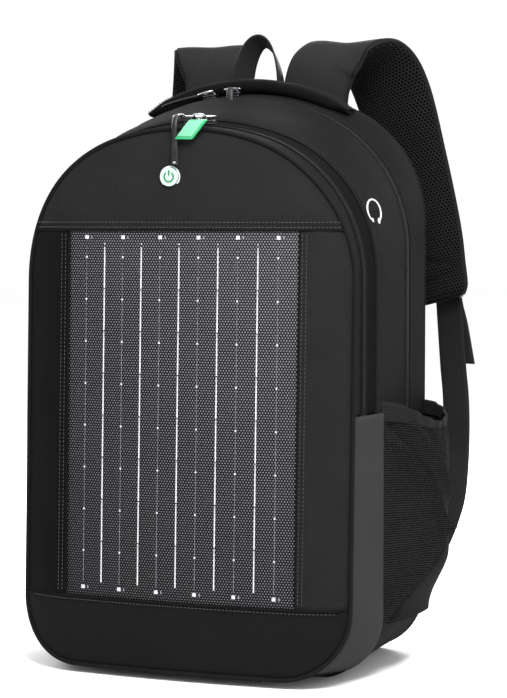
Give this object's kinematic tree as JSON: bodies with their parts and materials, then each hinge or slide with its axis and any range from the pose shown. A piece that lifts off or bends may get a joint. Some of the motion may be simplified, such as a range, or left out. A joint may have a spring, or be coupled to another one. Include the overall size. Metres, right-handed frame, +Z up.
{
  "type": "solar backpack",
  "caption": "Zipped fabric day pack with a semi-flexible solar module sewn into the front, padded shoulder straps and mesh side pockets.",
  "frame": {"origin": "centre of the flat base that the pack stands on, at floor level", "axes": "+Z up, -Y towards the front with the solar module, +X to the right of someone facing the front"},
  "size_m": [0.361, 0.2885, 0.5276],
  "materials": {
    "shell_fabric": "charcoal two-tone oxford weave, matt",
    "strip_fabric": "lighter grey smooth woven fabric",
    "zip_tape": "black knitted tape",
    "zip_coil": "black nylon coil",
    "lining": "plain woven lining",
    "air_mesh": "black spacer mesh",
    "piping": "black covered cord",
    "module_film": "dimpled clear film",
    "solar_cell": "dark silicon under film",
    "ribbon": "tinned ribbon",
    "backsheet": "black backsheet",
    "black_plastic": "fine texture",
    "lead_jacket": "smooth jacket",
    "button_face": "translucent white with a green symbol",
    "button_rim": "white rim",
    "port_rubber": "matt rubber with a white symbol",
    "tag_plastic": "translucent green",
    "metal": "plated zinc",
    "pull_rubber": "soft moulded",
    "webbing": "woven webbing",
    "strap_fabric": "oxford face over spacer mesh",
    "pocket_mesh": "fine knitted mesh",
    "elastic": "ribbed elastic binding"
  },
  "bodies": {
    "pack": {"anchor_tabs": "shell_fabric", "back_pad_left": "air_mesh", "back_pad_lumbar": "air_mesh", "back_pad_right": "air_mesh", "back_panel": "air_mesh", "base_panel": "shell_fabric", "button_bezel": "button_rim", "button_switch": "black_plastic", "carry_handle": "shell_fabric", "earphone_port": "port_rubber", "front_bottom_panel": "shell_fabric", "front_gusset_inner": "shell_fabric", "front_gusset_outer": "shell_fabric", "front_left_panel": "shell_fabric", "front_piping": "piping", "front_right_panel": "shell_fabric", "front_top_panel": "shell_fabric", "front_zip_coil": "zip_coil", "front_zip_tape": "zip_tape", "hang_loop": "webbing", "junction_box": "black_plastic", "laptop_sleeve": "lining", "main_gusset": "shell_fabric", "main_zip_coil": "zip_coil", "main_zip_tape": "zip_tape", "panel_lead": "lead_jacket", "pocket_binding_left": "elastic", "pocket_binding_right": "elastic", "pocket_divider": "lining", "rear_gusset": "shell_fabric", "side_pocket_left": "pocket_mesh", "side_pocket_right": "pocket_mesh", "side_strips": "strip_fabric", "solar_backsheet": "backsheet", "solar_cells": "solar_cell", "solar_cover_film": "module_film", "solar_ribbons": "ribbon", "strap_upper_left": "strap_fabric", "strap_upper_right": "strap_fabric", "strap_yoke": "shell_fabric", "usb_regulator": "black_plastic", "webbing_left": "webbing", "webbing_right": "webbing"},
    "front_slider_left": {"front_slider_left": "metal"},
    "front_pull_left": {"front_pull_left": "pull_rubber"},
    "front_slider_right": {"front_slider_right": "metal"},
    "front_tag": {"tag_link": "metal", "green_tag": "tag_plastic"},
    "main_slider_left": {"main_slider_left": "metal"},
    "main_pull_left": {"main_pull_left": "pull_rubber"},
    "main_slider_right": {"main_slider_right": "metal"},
    "main_pull_right": {"main_pull_right": "pull_rubber"},
    "power_button": {"power_button": "button_face"},
    "strap_left": {"strap_lower_left": "strap_fabric", "ladder_lock_left": "black_plastic", "webbing_tail_left": "webbing"},
    "strap_right": {"strap_lower_right": "strap_fabric", "ladder_lock_right": "black_plastic", "webbing_tail_right": "webbing"}
  },
  "joints": [
    {"name": "front_slider_left_travel", "type": "hinge", "parent": "pack", "child": "front_slider_left", "pos_m": [0, -0.055, 0.244], "axis": [0, 1, 0], "range_deg": [-14, 0]},
    {"name": "front_slider_right_travel", "type": "hinge", "parent": "pack", "child": "front_slider_right", "pos_m": [0, -0.055, 0.244], "axis": [0, 1, 0], "range_deg": [0, 12]},
    {"name": "main_slider_left_travel", "type": "hinge", "parent": "pack", "child": "main_slider_left", "pos_m": [0, 0.04, 0.285], "axis": [0, 1, 0], "range_deg": [-14, 0]},
    {"name": "main_slider_right_travel", "type": "hinge", "parent": "pack", "child": "main_slider_right", "pos_m": [0, 0.04, 0.285], "axis": [0, 1, 0], "range_deg": [0, 23]},
    {"name": "front_pull_left_lift", "type": "hinge", "parent": "front_slider_left", "child": "front_pull_left", "pos_m": [-0.00288, -0.055, 0.45008], "axis": [0.9999, 0, 0.014], "range_deg": [-75, 0]},
    {"name": "front_tag_lift", "type": "hinge", "parent": "front_slider_right", "child": "front_tag", "pos_m": [0.01079, -0.055, 0.44982], "axis": [0.9986, 0, -0.0523], "range_deg": [-75, 0]},
    {"name": "main_pull_left_lift", "type": "hinge", "parent": "main_slider_left", "child": "main_pull_left", "pos_m": [-0.02673, 0.04, 0.47523], "axis": [0, 1, 0], "range_deg": [0, 80]},
    {"name": "main_pull_right_lift", "type": "hinge", "parent": "main_slider_right", "child": "main_pull_right", "pos_m": [-0.00503, 0.04, 0.47703], "axis": [0.9997, 0, 0.0262], "range_deg": [-75, 0]},
    {"name": "power_button_press", "type": "slide", "parent": "pack", "child": "power_button", "axis": [0, 1, 0], "range_m": [0, 0.001], "stiffness_N_per_m": 800},
    {"name": "strap_left_swing", "type": "hinge", "parent": "pack", "child": "strap_left", "pos_m": [-0.0582, 0.126, 0.513], "axis": [1, 0, 0], "range_deg": [-10, 7], "stiffness_Nm_per_rad": 1.2, "deforming": ["webbing_left"]},
    {"name": "strap_right_swing", "type": "hinge", "parent": "pack", "child": "strap_right", "pos_m": [0.067, 0.126, 0.513], "axis": [1, 0, 0], "range_deg": [-10, 7], "stiffness_Nm_per_rad": 1.2, "deforming": ["webbing_right"]}
  ]
}
